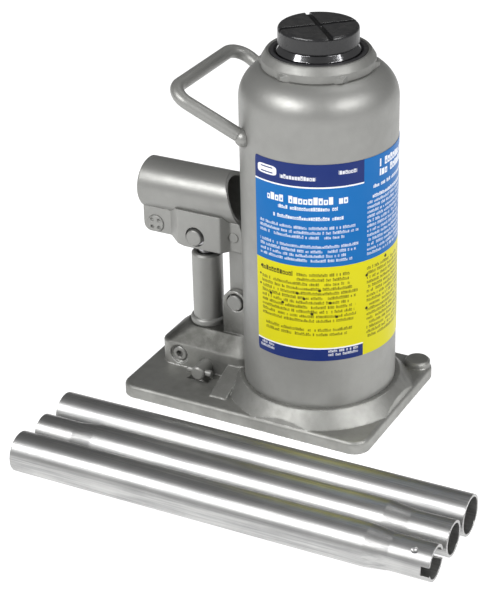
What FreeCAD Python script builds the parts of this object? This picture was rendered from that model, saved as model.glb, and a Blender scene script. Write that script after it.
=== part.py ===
import FreeCAD, Part
import math
import os
from FreeCAD import Vector

# Hydraulic bottle jack, millimetres.  The origin is on the floor under the ram axis,
# +Z is up, and the pump and its lever stand on the -X side of the reservoir.

# Clearances shared by every piece
run_gap = 0.05         # turning and sliding fits, on the radius
seat_gap = 0.1         # pieces of one body that merely stand next to each other
free_gap = 0.4         # pieces of different bodies that must never touch

# Base casting
base_pump_margin = 34.5    # plate beyond the pump axis
base_right_margin = 8.5    # plate beyond the casing
base_side_margin = 9.5
base_thickness = 8.0
base_corner = 10.0
base_edge_round = 2.4
seat_height = 17.5
seat_rim = 3.0         # width of the seat's flat rim round the casing
seat_foot = 11.0       # reach of the seat's foot beyond the casing
seat_trim = 1.2        # how far the round seat stays inside the plate's edge
tank_groove_floor = 14.0
cylinder_seat = 10.0
corner_pad_radius = 8.0
corner_pad_height = 4.0
corner_pad_inset = 1.2
rib_width = 11.5
rib_inset = 1.0        # the rib's left side inside the link's centre line
rib_margin = 11.0      # from the rib's foot to the plate's front edge

# Reservoir casing
casing_radius = 46.5
casing_wall = 3.0
shoulder_start = 199.5
shoulder_radius = 20.0
tank_gasket_thickness = 1.0

# Hydraulic cylinder, head nut and ram
ram_radius = 24.4
ram_foot = 16.0
ram_proud = 3.46       # how far the ram stands above the nut at rest
ram_bevel_height = 3.2
ram_bevel_width = 2.3
ram_wall = 9.4
ram_floor = 14.0
piston_height = 30.0
bore_clearance = 1.1   # between the ram's stem and the cylinder bore
cylinder_wall = 6.0
cylinder_gasket_thickness = 1.5
nut_flange_reach = 3.5     # the nut's corners beyond the cylinder
nut_flange_height = 4.0
nut_height = 9.5
nut_collar_reach = 1.5
nut_lip_wall = 2.2
nut_turn = 18.3            # degrees
nut_guide_height = 2.6
wiper_width = 3.6
wiper_height = 2.0

# Extension screw and saddle
screw_foot = 62.0
thread_pitch = 4.0
thread_depth = 1.0
saddle_inset = 1.0         # saddle's rim inside the ram's edge
saddle_height = 10.7
saddle_gap = 0.3
saddle_edge_round = 2.2
saddle_groove_width = 3.2
saddle_groove_depth = 2.0
saddle_groove_turn = 43.0  # degrees
saddle_spigot_radius = 9.0
saddle_spigot_height = 6.0

# Pump: cylinder, plunger and cast boss
lever_run = 24.5       # from the pump axis to the link
boss_half_width = 20.0
boss_left_reach = 25.5
boss_face_height = 23.0    # top of the upright faces, where the slopes begin
boss_height = 35.0
boss_crown_radius = 12.6
boss_corner = 8.0
boss_edge_round = 1.2
boss_right = -40.0
pump_seat = 24.0
pump_top = 83.5
pump_radius = 9.7
pump_collar_radius = 11.4
pump_collar_height = 4.0
plunger_radius = 6.0
plunger_foot = 31.0
chamber_radius = 4.6
chamber_floor = 8.0

# Lever socket, its two side plates and the link
tank_room = 1.2        # room between the casing and what moves beside it
link_foot_height = 56.6
link_head_rise = 2.5       # above the plunger pin
lever_pin_rise = 15.0      # above the pump cylinder
lever_max = 18.0
lever_min = -12.0
lever_pin_radius = 5.2
pin_play = 0.6             # how far the worn pin holes are off the pins' centres
plunger_eye_radius = 8.6
plunger_eye_half = 9.0
link_width = 10.6
link_half_thickness = 6.4
link_head_pin_radius = 3.2
link_foot_pin_radius = 2.4
link_pin_head_radius = 5.2
ear_radius = 8.2
ear_thickness = 4.2
ear_side_gap = 0.5
socket_radius = 15.95
socket_wall = 2.6
socket_rise = 24.9         # tube axis above the plunger pin
socket_reach = 39.5        # tube's outer end beyond the pump axis
plate_thickness = 3.0
plate_middle_inner = 12.6
plate_reach = 38.5
plate_left_inner = 7.0
plate_drop = 7.0           # lower edge below the plunger pin
plate_left_drop = 4.3
plate_corner = 5.0
plate_step_reach = 18.0
plate_left_run = 8.0
plate_right_run = 4.5
plate_bend = 1.6
plate_top_drop = 8.0       # upper edge below the tube's axis
plate_slope_run = 11.0
rivet_reach = 30.0
rivet_rise = 1.5
rivet_radius = 4.2
rivet_head_radius = 5.8
rivet_head_height = 0.8
rivet_dent_reach = 3.4
rivet_dent_radius = 1.2

# Valves in the boss
release_offset = 8.0       # from the pump axis towards the tank
release_height = 13.0
release_radius = 4.6
release_proud = 12.5       # stem standing out of the boss
release_pin_radius = 2.1
release_pin_length = 17.0
release_pin_setback = 4.2  # from the stem's front end
relief_gap = 0.6           # room round the cross pin's sweep, in the plate
overload_offset = 11.5     # from the pump axis away from the tank
overload_height = 16.2
overload_bore = 5.0
overload_ring_radius = 6.3
overload_hex = 4.4
ball_radius = 2.4
oil_hole = 1.6
suction_height = 4.5
crossing_height = 10.0
delivery_seat = 12.5
delivery_plug_foot = 22.0
gallery_height = 5.0       # of the passage under the ram
gallery_reach = 18.0       # from the ram axis to the passage's end
passage_side = 12.0
strainer_share = 0.31      # strainer's radius as a share of the oil space
spring_wire = 0.35

# Carrying handle, a bent rod welded to the casing
handle_rod_radius = 4.1
handle_root_angle = 48.0
handle_root_drop = 19.2    # below the start of the shoulder
handle_reach = 29.0        # beyond the casing
handle_corner_y = 41.0
handle_rise = 23.4
handle_bend = 11.0
weld_radius = 5.3

# Filler plug in the back of the casing
filler_drop = 21.5         # below the start of the shoulder
filler_angle = 100.0
filler_radius = 5.0
filler_head_radius = 8.5
filler_head_height = 4.0

# Pump handle in three pieces, lying in front of the jack
tube_radius = 12.1
tube_wall = 1.5
tube_length = 260.0
tube_left = -120.0
tube_spacing = 24.5
tube_distance = 46.2       # from the plate's front edge to the nearest tube's axis
tube_turn = 1.0
tube_neck_radius = 10.4
tube_neck_length = 24.0
tube_taper = 14.0
notch_width = 6.0
notch_depth = 5.0
dimple_radius = 2.6
dimple_depth = 0.9
dimple_setback = 10.0    # from the notched end
dimple_turn = 58.0       # degrees above the notch

# Label wrapped round the casing
label_bottom = 49.8
label_drop = 23.5          # below the start of the shoulder
label_start = -115.1
label_end = 53.0
label_thickness = 0.2

# Sizes that follow from the ones above
link_x = -(casing_radius + tank_room + link_width / 2)
pump_x = link_x - lever_run
base_left = base_pump_margin - pump_x
base_right = casing_radius + base_right_margin
base_half_width = casing_radius + base_side_margin
seat_rim_radius = casing_radius + seat_rim
seat_foot_radius = casing_radius + seat_foot
bore_radius = ram_radius + bore_clearance
cylinder_radius = bore_radius + cylinder_wall
casing_inner = casing_radius - casing_wall
shoulder_centre_r = casing_radius - shoulder_radius
neck_radius = cylinder_radius + seat_gap
nut_flange_corner = cylinder_radius + nut_flange_reach
nut_collar_radius = cylinder_radius + nut_collar_reach
nut_lip_inner = ram_radius + wiper_width
nut_lip_outer = nut_lip_inner + nut_lip_wall
saddle_radius = ram_radius - saddle_inset
seat_ring_radius = cylinder_radius + 2.5
casing_top = shoulder_start + math.sqrt(
    shoulder_radius ** 2 - (seat_ring_radius - shoulder_centre_r) ** 2)
casing_foot = tank_groove_floor + tank_gasket_thickness
nut_top = casing_top + nut_height
cylinder_top = casing_top + nut_flange_height + 1.0
guide_top = cylinder_top + nut_guide_height
screw_radius = ram_radius - ram_wall
screw_core_radius = screw_radius - thread_depth
ram_core_radius = screw_radius + run_gap
piston_radius = bore_radius - run_gap
ram_top = nut_top + ram_proud
saddle_foot = ram_top + saddle_gap
saddle_top = saddle_foot + saddle_height
plate_middle_outer = plate_middle_inner + plate_thickness
plate_narrow_inner = link_half_thickness + ear_side_gap
ear_inner = link_half_thickness + ear_side_gap
ear_outer = ear_inner + ear_thickness
boss_left = pump_x - boss_left_reach
rib_left = link_x - rib_inset
rib_front = rib_margin - base_half_width
lever_pin_height = pump_top + lever_pin_rise
link_head_height = lever_pin_height + link_head_rise
socket_height = lever_pin_height + socket_rise
socket_left = pump_x - socket_reach
plate_left = pump_x - plate_reach
plate_bottom = lever_pin_height - plate_drop
plate_left_bottom = lever_pin_height - plate_left_drop
plate_step_left = pump_x - plate_step_reach
plate_step_right = link_x - plate_narrow_inner / 2
rivet_x = pump_x - rivet_reach
rivet_height = lever_pin_height + rivet_rise
release_x = pump_x + release_offset
release_front = -boss_half_width - release_proud
overload_x = pump_x - overload_offset
label_top = shoulder_start - label_drop
handle_root_height = shoulder_start - handle_root_drop
handle_corner_x = -casing_radius - handle_reach
handle_corner_height = handle_root_height + handle_rise
filler_height = shoulder_start - filler_drop
tube_first_y = -base_half_width - tube_distance


def save(name, shape):
    shape.exportStep(os.path.join("parts", name + ".step"))


def turned(outline, angle=360.0):
    """Solid of revolution about Z from (radius, height) corners."""
    points = [Vector(r, 0, z) for r, z in outline]
    face = Part.Face(Part.makePolygon(points + [points[0]]))
    return face.revolve(Vector(0, 0, 0), Vector(0, 0, 1), angle)


def rod(start, end, radius):
    start = Vector(*start)
    end = Vector(*end)
    line = end.sub(start)
    return Part.makeCylinder(radius, line.Length, start, line)


def block(low, high):
    size = [b - a for a, b in zip(low, high)]
    return Part.makeBox(size[0], size[1], size[2], Vector(*low))


def side_profile(corners, y_low, y_high):
    """Prism along Y from (x, z) corners."""
    points = [Vector(x, y_low, z) for x, z in corners]
    face = Part.Face(Part.makePolygon(points + [points[0]]))
    return face.extrude(Vector(0, y_high - y_low, 0))


def ring(inner, outer, low, high):
    return turned([(inner, low), (outer, low), (outer, high), (inner, high)])


def moved(shape, x=0.0, y=0.0, z=0.0):
    copy = shape.copy()
    copy.translate(Vector(x, y, z))
    return copy


def hexagon(corner_radius, low, high, first_angle=0.0):
    points = []
    for step in range(7):
        angle = math.radians(first_angle + 60.0 * step)
        points.append(Vector(corner_radius * math.cos(angle), corner_radius * math.sin(angle), low))
    return Part.Face(Part.makePolygon(points)).extrude(Vector(0, 0, high - low))


def rim_edges(shape, height, radius):
    """The circular edges of a turned shape at one height and radius."""
    return [e for e in shape.Edges
            if e.BoundBox.ZMin > height - 0.01 and abs(e.BoundBox.XMax - radius) < 0.01]


def one_solid(shape):
    return shape.removeSplitter().Solids[0]


# ---- base and tank ----

def plate():
    slab = block((-base_left, -base_half_width, 0), (base_right, base_half_width, base_thickness))
    uprights = [e for e in slab.Edges if abs(e.Vertexes[0].Z - e.Vertexes[1].Z) > 1.0]
    slab = slab.makeFillet(base_corner, uprights)
    rim = [e for e in slab.Edges if e.BoundBox.ZMin > base_thickness - 0.01]
    return slab.makeFillet(base_edge_round, rim)


def tank_seat():
    cone = turned([(0, 0), (seat_foot_radius, 0), (seat_foot_radius, base_thickness),
                   (seat_rim_radius, seat_height), (0, seat_height)])
    inside = block((-base_left, -base_half_width + seat_trim, 0),
                   (base_right - seat_trim, base_half_width - seat_trim, seat_height))
    return cone.common(inside)


def rounded_outline(left, right, half_width, corner, height):
    """Closed wire of four sides and four equal corner arcs."""
    edges = []
    centres = [(right - corner, half_width - corner, 0), (left + corner, half_width - corner, 90),
               (left + corner, corner - half_width, 180), (right - corner, corner - half_width, 270)]
    last = None
    first = None
    for x, y, angle in centres:
        at = [Vector(x + corner * math.cos(math.radians(angle + turn)),
                     y + corner * math.sin(math.radians(angle + turn)), height) for turn in (0, 45, 90)]
        if last:
            edges.append(Part.makeLine(last, at[0]))
        first = first or at[0]
        edges.append(Part.Arc(at[0], at[1], at[2]).toShape())
        last = at[2]
    edges.append(Part.makeLine(last, first))
    return Part.Wire(edges)


def pump_boss():
    foot = Part.Face(rounded_outline(boss_left, boss_right, boss_half_width, boss_corner, 0))
    lower = foot.extrude(Vector(0, 0, boss_face_height))
    slopes = Part.makeLoft([
        rounded_outline(boss_left, boss_right, boss_half_width, boss_corner, boss_face_height),
        rounded_outline(pump_x - boss_crown_radius, boss_right, boss_crown_radius,
                        boss_crown_radius - 0.1, boss_height)], True, True)
    body = lower.fuse(slopes).removeSplitter()
    brow = [e for e in body.Edges
            if e.BoundBox.ZMin > boss_face_height - 0.01 and e.BoundBox.ZMax - e.BoundBox.ZMin < 0.01]
    return body.makeFillet(boss_edge_round, brow)


def front_rib():
    back = -boss_half_width + 1.0
    low = (rib_left, rib_front, 0)
    high = (rib_left + rib_width, back, seat_height)
    slope = Part.Face(Part.makePolygon([
        Vector(rib_left, rib_front, 0), Vector(rib_left, rib_front, base_thickness + 0.6),
        Vector(rib_left, back, seat_height), Vector(rib_left, back, 0),
        Vector(rib_left, rib_front, 0)])).extrude(Vector(rib_width, 0, 0))
    return slope.common(block(low, high))


def ears():
    pair = []
    for side in (-1, 1):
        near, far = sorted((side * ear_inner, side * ear_outer))
        eye = rod((link_x, near, link_foot_height), (link_x, far, link_foot_height), ear_radius)
        leg = block((link_x - ear_radius, near, base_thickness), (link_x + ear_radius, far, link_foot_height))
        hole_x = link_x + pin_play
        hole_z = link_foot_height + pin_play
        hole = rod((hole_x, near - 1, hole_z), (hole_x, far + 1, hole_z),
                   link_pin_head_radius + pin_play * math.sqrt(2) + 0.01)
        pair.append(eye.fuse(leg).cut(hole))
    return pair


def delivery_x():
    return link_x - ear_radius - 1.0


def release_back():
    return -boss_half_width + 12.5


def overload_back():
    return -boss_half_width + 14.0


def tank_port_x():
    return -(cylinder_radius + casing_inner) / 2 + 1.5


def oil_passages():
    port = tank_port_x()
    pocket = delivery_x()
    return_height = release_height - 3
    return [
        # suction: from the tank, under the pump, up to the chamber
        rod((port, passage_side, suction_height), (port, passage_side, seat_height + 1), oil_hole),
        rod((port, passage_side, suction_height), (pump_x, 0, suction_height), oil_hole),
        rod((pump_x, 0, suction_height), (pump_x, 0, chamber_floor + 1), oil_hole),
        # delivery: from the chamber up through the ball's seat and on under the ram
        rod((pump_x, 0, crossing_height), (pocket, 0, crossing_height), oil_hole),
        rod((pocket, 0, crossing_height), (pocket, 0, delivery_seat + 1), oil_hole),
        rod((pocket, 0, delivery_seat + 1), (-gallery_reach, 0, gallery_height), oil_hole),
        rod((-gallery_reach, 0, gallery_height), (-gallery_reach, 0, cylinder_seat + 1), oil_hole),
        # release: from the delivery pocket past the valve and back to the tank
        rod((release_x, release_back() - 1, release_height),
            (release_x, release_back() + 3, release_height), oil_hole),
        rod((release_x, release_back() + 3, release_height), (pocket, 0, release_height + 1), oil_hole),
        rod((release_x, -passage_side, return_height), (port, -passage_side, return_height), oil_hole),
        rod((port, -passage_side, return_height), (port, -passage_side, seat_height + 1), oil_hole),
        # overload: from the chamber to the relief ball
        rod((pump_x, 0, overload_height), (overload_x, 0, overload_height), oil_hole),
        rod((overload_x, 0, overload_height), (overload_x, overload_back() - 1, overload_height), oil_hole),
    ]


def release_relief():
    """Trough in the plate that the valve's cross pin turns through."""
    reach = release_pin_radius + 2 * relief_gap
    return rod((release_x, release_pin_y() - reach, release_height),
               (release_x, release_pin_y() + reach, release_height), release_pin_length / 2 + relief_gap)


def corner_pad():
    inset = corner_pad_radius + corner_pad_inset
    top = base_thickness + corner_pad_height
    pad = turned([(0, 0), (corner_pad_radius, 0), (corner_pad_radius, top - 1.2),
                  (corner_pad_radius - 1.2, top), (0, top)])
    return moved(pad, base_right - inset, base_half_width - inset)


def base_casting():
    body = plate().multiFuse([tank_seat(), pump_boss(), front_rib(), corner_pad()] + ears())
    front = -boss_half_width - 1.0
    cuts = [
        Part.makeCylinder(casing_radius + seat_gap, 100, Vector(0, 0, seat_height)),
        ring(casing_inner - seat_gap, casing_radius + seat_gap, tank_groove_floor, seat_height + 1),
        Part.makeCylinder(cylinder_radius + seat_gap, 100, Vector(0, 0, cylinder_seat)),
        Part.makeCylinder(pump_radius + seat_gap, 100, Vector(pump_x, 0, pump_seat)),
        Part.makeCylinder(chamber_radius, pump_seat, Vector(pump_x, 0, chamber_floor)),
        Part.makeCylinder(ball_radius + 1.0, 100, Vector(delivery_x(), 0, delivery_seat)),
        rod((release_x, front, release_height), (release_x, release_back(), release_height),
            release_radius + run_gap),
        rod((overload_x, front, overload_height), (overload_x, overload_back(), overload_height),
            overload_bore + seat_gap),
        rod((overload_x, front, overload_height), (overload_x, front + 2.5, overload_height),
            overload_ring_radius),
        release_relief(),
    ]
    return one_solid(body.cut(cuts + oil_passages()))


def reservoir_casing():
    seat = seat_ring_radius
    step = math.radians(45.0)
    inner_arc = shoulder_radius - casing_wall
    tilt = math.acos((seat - shoulder_centre_r) / shoulder_radius) / 2

    def on_arc(radius, angle):
        return Vector(shoulder_centre_r + radius * math.cos(angle), 0,
                      shoulder_start + radius * math.sin(angle))

    outer_end = Vector(seat, 0, casing_top)
    neck = Vector(neck_radius, 0, casing_top)
    ceiling = Vector(neck_radius, 0, casing_top - casing_wall)
    inner_end = on_arc(inner_arc, math.acos((neck_radius + 1.5 - shoulder_centre_r) / inner_arc))
    edges = [
        Part.makeLine(Vector(casing_inner, 0, casing_foot), Vector(casing_radius, 0, casing_foot)),
        Part.makeLine(Vector(casing_radius, 0, casing_foot), Vector(casing_radius, 0, shoulder_start)),
        Part.Arc(Vector(casing_radius, 0, shoulder_start), on_arc(shoulder_radius, tilt),
                 outer_end).toShape(),
        Part.makeLine(outer_end, neck),
        Part.makeLine(neck, ceiling),
        Part.makeLine(ceiling, inner_end),
        Part.Arc(inner_end, on_arc(inner_arc, step / 2), Vector(casing_inner, 0, shoulder_start)).toShape(),
        Part.makeLine(Vector(casing_inner, 0, shoulder_start), Vector(casing_inner, 0, casing_foot)),
    ]
    shell = Part.Face(Part.Wire(edges)).revolve(Vector(0, 0, 0), Vector(0, 0, 1), 360)
    return shell.cut(filler_hole())


def tank_gasket():
    return ring(casing_inner, casing_radius, tank_groove_floor, casing_foot)


def label():
    body = Part.makeCylinder(casing_radius + label_thickness, label_top - label_bottom,
                             Vector(0, 0, label_bottom), Vector(0, 0, 1), label_end - label_start)
    body.rotate(Vector(0, 0, 0), Vector(0, 0, 1), label_start)
    return body.cut(Part.makeCylinder(casing_radius, 300))


# ---- main cylinder, nut, ram and screw ----

def hydraulic_cylinder():
    foot = cylinder_seat + cylinder_gasket_thickness
    return ring(bore_radius, cylinder_radius, foot, cylinder_top)


def cylinder_gasket():
    return ring(bore_radius + 1.0, cylinder_radius, cylinder_seat, cylinder_seat + cylinder_gasket_thickness)


def head_nut():
    flange_top = casing_top + nut_flange_height
    flange = hexagon(nut_flange_corner, casing_top, flange_top, nut_turn)
    flange = flange.common(turned([(0, casing_top), (nut_flange_corner - 1.6, casing_top),
                                   (nut_flange_corner, casing_top + 1.0),
                                   (nut_flange_corner, flange_top - 1.0),
                                   (nut_flange_corner - 1.8, flange_top), (0, flange_top)]))
    low_ring = turned([(0, casing_top), (nut_collar_radius - 0.6, casing_top),
                       (nut_collar_radius, casing_top + 0.8), (nut_collar_radius, flange_top + 1.2),
                       (nut_lip_outer + 0.8, nut_top - 1.0), (nut_lip_outer, nut_top), (0, nut_top)])
    inside = turned([(0, casing_top - 1), (cylinder_radius, casing_top - 1), (cylinder_radius, cylinder_top),
                     (ram_radius + run_gap, cylinder_top), (ram_radius + run_gap, guide_top),
                     (nut_lip_inner, guide_top), (nut_lip_inner, nut_top - 0.6),
                     (nut_lip_inner + 0.6, nut_top), (nut_lip_inner + 0.6, nut_top + 1), (0, nut_top + 1)])
    return one_solid(flange.fuse(low_ring).cut(inside))


def wiper_seal():
    lip = ram_radius + run_gap
    return turned([(lip, guide_top), (nut_lip_inner, guide_top), (nut_lip_inner, guide_top + wiper_height),
                   (lip + 1.4, guide_top + wiper_height), (lip, guide_top + wiper_height - 1.2)])


def ram():
    seal_groove = bore_radius - 4.0
    band_groove = bore_radius - 2.5
    seal_low = ram_foot + 5.0
    seal_high = seal_low + 6.0
    band_low = seal_high + 5.0
    band_high = band_low + 8.0
    piston_top = ram_foot + piston_height
    outer = [(0, ram_foot), (piston_radius - 1, ram_foot), (piston_radius, ram_foot + 1),
             (piston_radius, seal_low), (seal_groove, seal_low), (seal_groove, seal_high),
             (piston_radius, seal_high), (piston_radius, band_low), (band_groove, band_low),
             (band_groove, band_high), (piston_radius, band_high), (piston_radius, piston_top),
             (ram_radius, piston_top), (ram_radius, ram_top - ram_bevel_height),
             (ram_radius - ram_bevel_width, ram_top),
             (ram_core_radius + 0.8, ram_top), (ram_core_radius, ram_top - 0.8),
             (ram_core_radius, ram_foot + ram_floor), (0, ram_foot + ram_floor)]
    return turned(outer)


def ram_seal():
    low = ram_foot + 5.0
    inner = bore_radius - 4.0
    middle = bore_radius - 2.0
    return turned([(inner, low + 1), (inner + 0.6, low), (middle, low + 2.4), (bore_radius - 0.6, low),
                   (bore_radius - 0.02, low + 1), (bore_radius - 0.02, low + 6), (inner, low + 6)])


def ram_guide_band():
    low = ram_foot + 16.0
    return ring(bore_radius - 2.5, bore_radius - 0.02, low, low + 8.0)


def extension_screw():
    spigot_top = saddle_foot + saddle_spigot_height
    thread = turned([(0, screw_foot), (screw_core_radius, screw_foot),
                     (screw_radius, screw_foot + thread_depth),
                     (screw_radius, saddle_foot - 6.0), (screw_core_radius, saddle_foot - 5.0),
                     (screw_core_radius, saddle_foot), (saddle_spigot_radius, saddle_foot),
                     (saddle_spigot_radius, spigot_top), (0, spigot_top)])
    grooves = []
    turns = int((saddle_foot - screw_foot - 12.0) / thread_pitch)
    for turn in range(turns):
        low = screw_foot + 4.0 + turn * thread_pitch
        grooves.append(turned([(screw_core_radius, low + 0.9), (screw_radius + 1, low - 0.6),
                               (screw_radius + 1, low + 3.0), (screw_core_radius, low + 1.5)]))
    return thread.cut(grooves)


def screw_stop_washer():
    return ring(4.0, ram_core_radius - run_gap, screw_foot - 4.0, screw_foot - seat_gap)


def saddle():
    body = turned([(saddle_spigot_radius, saddle_foot), (saddle_radius - 0.8, saddle_foot),
                   (saddle_radius, saddle_foot + 0.8), (saddle_radius, saddle_top), (0, saddle_top),
                   (0, saddle_foot + saddle_spigot_height),
                   (saddle_spigot_radius, saddle_foot + saddle_spigot_height)])
    body = body.makeFillet(saddle_edge_round, rim_edges(body, saddle_top, saddle_radius))
    floor = saddle_top - saddle_groove_depth
    half = saddle_groove_width / 2
    grooves = [block((-saddle_radius, -half, floor), (saddle_radius, half, saddle_top + 1)),
               block((-half, -saddle_radius, floor), (half, saddle_radius, saddle_top + 1))]
    for groove in grooves:
        groove.rotate(Vector(0, 0, 0), Vector(0, 0, 1), saddle_groove_turn)
    return body.cut(grooves)


# ---- pump ----

def pump_cylinder():
    foot = pump_seat + tank_gasket_thickness
    outline = [(plunger_radius + run_gap, foot), (pump_radius, foot), (pump_radius, boss_height),
               (pump_collar_radius, boss_height),
               (pump_collar_radius, boss_height + pump_collar_height - 1.0),
               (pump_collar_radius - 1.0, boss_height + pump_collar_height),
               (pump_radius, boss_height + pump_collar_height), (pump_radius, pump_top - 1.2),
               (pump_radius - 1.2, pump_top), (plunger_radius + run_gap + 0.8, pump_top),
               (plunger_radius + run_gap, pump_top - 0.8)]
    return moved(turned(outline), pump_x)


def pump_gasket():
    washer = ring(chamber_radius + 0.4, pump_radius, pump_seat, pump_seat + tank_gasket_thickness)
    return moved(washer, pump_x)


def pump_plunger():
    groove = plunger_radius - 1.6
    low = plunger_foot + 2.0
    high = low + 5.0
    stem_top = lever_pin_height
    stem = moved(turned([(0, plunger_foot), (plunger_radius - 0.6, plunger_foot),
                         (plunger_radius, plunger_foot + 0.6), (plunger_radius, low), (groove, low),
                         (groove, high), (plunger_radius, high), (plunger_radius, stem_top), (0, stem_top)]),
                 pump_x)
    eye = rod((pump_x, -plunger_eye_half, lever_pin_height), (pump_x, plunger_eye_half, lever_pin_height),
              plunger_eye_radius)
    hole = rod((pump_x, -plunger_eye_half - 1, lever_pin_height),
               (pump_x, plunger_eye_half + 1, lever_pin_height), lever_pin_radius)
    return one_solid(stem.fuse(eye).cut(hole))


def plunger_seal():
    low = plunger_foot + 2.0
    return moved(ring(plunger_radius - 1.6, plunger_radius + run_gap - 0.01, low, low + 5.0), pump_x)


def plunger_pin():
    end = plate_middle_outer + 1.0
    pin = rod((0, -end, 0), (0, end, 0), lever_pin_radius)
    ends = [e for e in pin.Edges if e.BoundBox.YMax - e.BoundBox.YMin < 0.01]
    return moved(pin.makeChamfer(0.5, ends), pump_x, 0, lever_pin_height)


# ---- lever socket and link ----

def lever_arm():
    """Distance and slope from the plunger pin to the link's upper pin."""
    run = link_x - pump_x
    rise = link_head_height - lever_pin_height
    return math.hypot(run, rise), math.atan2(rise, run)


def link_shift(degrees):
    """Sideways place of the link's upper pin, against rest, with the lever at an angle."""
    length, slope = lever_arm()
    return length * math.cos(math.radians(degrees) - slope) - length * math.cos(slope)


def link_shift_range():
    length, slope = lever_arm()
    level = min(max(math.degrees(slope), lever_min), lever_max)
    shifts = [link_shift(angle) for angle in (lever_min, 0.0, level, lever_max)]
    return min(shifts), max(shifts)


def casing_sweep(shape):
    """Cut away what would meet the casing anywhere in the lever's stroke."""
    room = casing_radius + tank_room
    for angle in (lever_max, lever_max / 2, 0.0, lever_min):
        column = Part.makeCylinder(room, 3 * socket_height, Vector(0, 0, -socket_height))
        column.rotate(Vector(pump_x, 0, lever_pin_height), Vector(0, 1, 0), -angle)
        shape = shape.cut(column)
    return one_solid(shape)


def lever_socket():
    right = -casing_radius + 2.0
    inner = socket_radius - socket_wall
    lip = 0.9
    length = right - socket_left
    outline = [(inner + lip, 0), (socket_radius - lip, 0), (socket_radius, lip), (socket_radius, length),
               (inner, length), (inner, lip)]
    tube = turned(outline)
    tube.rotate(Vector(0, 0, 0), Vector(0, 1, 0), 90)
    return casing_sweep(moved(tube, socket_left, 0, socket_height))


def plate_plan(side):
    """Outline of one stepped side plate seen from above, on one side of the middle plane."""
    turn = plate_thickness / 2
    inner = [(plate_left, plate_left_inner), (plate_step_left, plate_left_inner),
             (plate_step_left + plate_left_run, plate_middle_inner),
             (plate_step_right - plate_right_run, plate_middle_inner),
             (plate_step_right, plate_narrow_inner), (0, plate_narrow_inner)]
    outer = [(0, plate_narrow_inner + plate_thickness),
             (plate_step_right + turn, plate_narrow_inner + plate_thickness),
             (plate_step_right - plate_right_run + turn, plate_middle_outer),
             (plate_step_left + plate_left_run - turn, plate_middle_outer),
             (plate_step_left - turn, plate_left_inner + plate_thickness),
             (plate_left, plate_left_inner + plate_thickness)]
    return [(x, side * y) for x, y in inner + outer]


def side_plate(side):
    low = plate_bottom - 1
    top = socket_height - plate_top_drop
    points = [Vector(x, y, low) for x, y in plate_plan(side)]
    strip = Part.Face(Part.makePolygon(points + [points[0]])).extrude(Vector(0, 0, top - low))
    bends = [e for e in strip.Edges if e.BoundBox.ZMax - e.BoundBox.ZMin > 1.0
             and plate_left + 1 < e.BoundBox.XMin and e.BoundBox.XMax < -1.0]
    strip = strip.makeFillet(plate_bend, bends)
    reach = plate_middle_outer + 2
    outline = side_profile([(plate_left, plate_left_bottom), (plate_step_left, plate_left_bottom),
                            (plate_step_left + plate_slope_run, plate_bottom), (0, plate_bottom),
                            (0, top), (plate_left, top)], -reach, reach)
    corner = [e for e in outline.Edges
              if e.BoundBox.XMax < plate_left + 0.01 and e.BoundBox.ZMax < plate_left_bottom + 0.01]
    plate_body = strip.common(outline.makeFillet(plate_corner, corner))
    far = reach + 1
    loose = 2 * pin_play
    cuts = [
        rod((socket_left - 1, 0, socket_height), (0, 0, socket_height), socket_radius),
        rod((pump_x + pin_play, -far, lever_pin_height + pin_play),
            (pump_x + pin_play, far, lever_pin_height + pin_play), lever_pin_radius + loose),
        rod((link_x, -far, link_head_height), (link_x, far, link_head_height), link_head_pin_radius),
        rod((rivet_x, -far, rivet_height), (rivet_x, far, rivet_height), rivet_radius),
    ]
    return casing_sweep(plate_body.cut(cuts))


def socket_rivet():
    inner = plate_left_inner
    outer = inner + plate_thickness
    head = outer + rivet_head_height
    body = turned([(0, -head), (rivet_head_radius - 0.6, -head), (rivet_head_radius, -outer),
                   (rivet_radius, -outer), (rivet_radius, -inner), (rivet_head_radius, -inner),
                   (rivet_head_radius, inner), (rivet_radius, inner), (rivet_radius, outer),
                   (rivet_head_radius, outer), (rivet_head_radius - 0.6, head), (0, head)])
    dents = []
    for step in range(4):
        angle = math.radians(45.0 + 90.0 * step)
        x = rivet_dent_reach * math.cos(angle)
        y = rivet_dent_reach * math.sin(angle)
        for end in (-head, head):
            dents.append(Part.makeSphere(rivet_dent_radius, Vector(x, y, end)))
    body = body.cut(dents)
    body.rotate(Vector(0, 0, 0), Vector(1, 0, 0), 90)
    return moved(body, rivet_x, 0, rivet_height)


def link_head_pin():
    end = plate_narrow_inner + plate_thickness + 0.4
    return rod((link_x, -end, link_head_height), (link_x, end, link_head_height), link_head_pin_radius)


def link_bar():
    half = link_width / 2
    thick = link_half_thickness
    bar = block((link_x - half, -thick, link_foot_height), (link_x + half, thick, link_head_height))
    ends = [rod((link_x, -thick, z), (link_x, thick, z), half) for z in (link_foot_height, link_head_height)]
    low, high = link_shift_range()
    play = link_foot_pin_radius + 0.2
    start = link_x - high
    stop = link_x - low
    slot = [rod((x, -thick - 1, link_foot_height), (x, thick + 1, link_foot_height), play)
            for x in (start, stop)]
    slot.append(block((start, -thick - 1, link_foot_height - play),
                      (stop, thick + 1, link_foot_height + play)))
    eye = rod((link_x, -thick - 1, link_head_height), (link_x, thick + 1, link_head_height),
              link_head_pin_radius + run_gap)
    return one_solid(bar.fuse(ends).cut(slot + [eye]))


def link_foot_pin():
    step = ear_inner
    end = ear_outer + 0.5
    body = turned([(0, -end), (link_pin_head_radius - 0.5, -end), (link_pin_head_radius, 0.5 - end),
                   (link_pin_head_radius, -step), (link_foot_pin_radius, -step), (link_foot_pin_radius, step),
                   (link_pin_head_radius, step), (link_pin_head_radius, end - 0.5),
                   (link_pin_head_radius - 0.5, end), (0, end)])
    body.rotate(Vector(0, 0, 0), Vector(1, 0, 0), 90)
    return moved(body, link_x, 0, link_foot_height)


# ---- valves ----

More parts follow.
